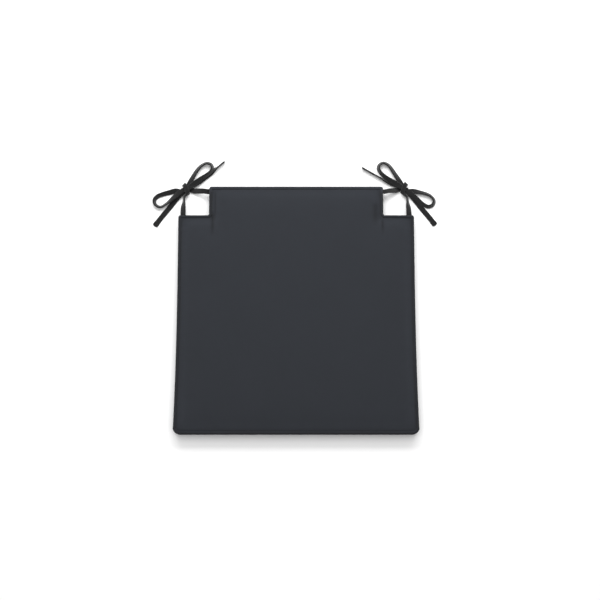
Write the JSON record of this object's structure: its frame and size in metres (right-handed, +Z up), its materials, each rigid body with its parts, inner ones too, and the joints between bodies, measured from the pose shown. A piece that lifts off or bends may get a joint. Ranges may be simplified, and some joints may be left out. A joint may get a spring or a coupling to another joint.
{
  "type": "chair seat pad",
  "caption": "Square boxed seat pad with welted edges, notched back corners, tape ties knotted in bows and a zip in the back boxing.",
  "frame": {"origin": "middle of the pad's footprint over the welts, on the surface the pad lies on", "axes": "+X to the sitter's right, +Y to the back edge with the ties, +Z up through the top panel"},
  "size_m": [0.5113, 0.4918, 0.0315],
  "materials": {
    "cover_cloth": "matte",
    "welt_cloth": "matte",
    "tie_tape": "matte",
    "foam": "matte",
    "wadding": "matte",
    "filler_cord": "matte",
    "zip_tape": "matte",
    "zip_coil": "satin",
    "zip_metal": "satin"
  },
  "bodies": {
    "pad": {"foam_core": "foam", "wadding_lower": "wadding", "wadding_upper": "wadding", "top_panel": "cover_cloth", "bottom_panel": "cover_cloth", "boxing_main": "cover_cloth", "boxing_notch_left": "cover_cloth", "boxing_notch_right": "cover_cloth", "zip_strip_upper": "cover_cloth", "zip_strip_lower": "cover_cloth", "zip_end_tabs": "cover_cloth", "welt_upper_casing": "welt_cloth", "welt_upper_filler": "filler_cord", "welt_lower_casing": "welt_cloth", "welt_lower_filler": "filler_cord", "zip_tape_upper": "zip_tape", "zip_tape_lower": "zip_tape", "zip_coil_upper": "zip_coil", "zip_coil_lower": "zip_coil", "zip_stops": "zip_metal", "tie_left_side": "tie_tape", "tie_left_back": "tie_tape", "tie_right_side": "tie_tape", "tie_right_back": "tie_tape"},
    "slider": {"zip_slider": "zip_metal"},
    "pull": {"zip_pull": "zip_metal"}
  },
  "joints": [
    {"name": "zip_slide", "type": "slide", "parent": "pad", "child": "slider", "axis": [-1, 0, 0], "range_m": [0, 0.25]},
    {"name": "pull_hinge", "type": "hinge", "parent": "slider", "child": "pull", "pos_m": [0.1285, 0.2194, 0.0135], "axis": [0, 0, -1], "range_deg": [0, 175]}
  ]
}
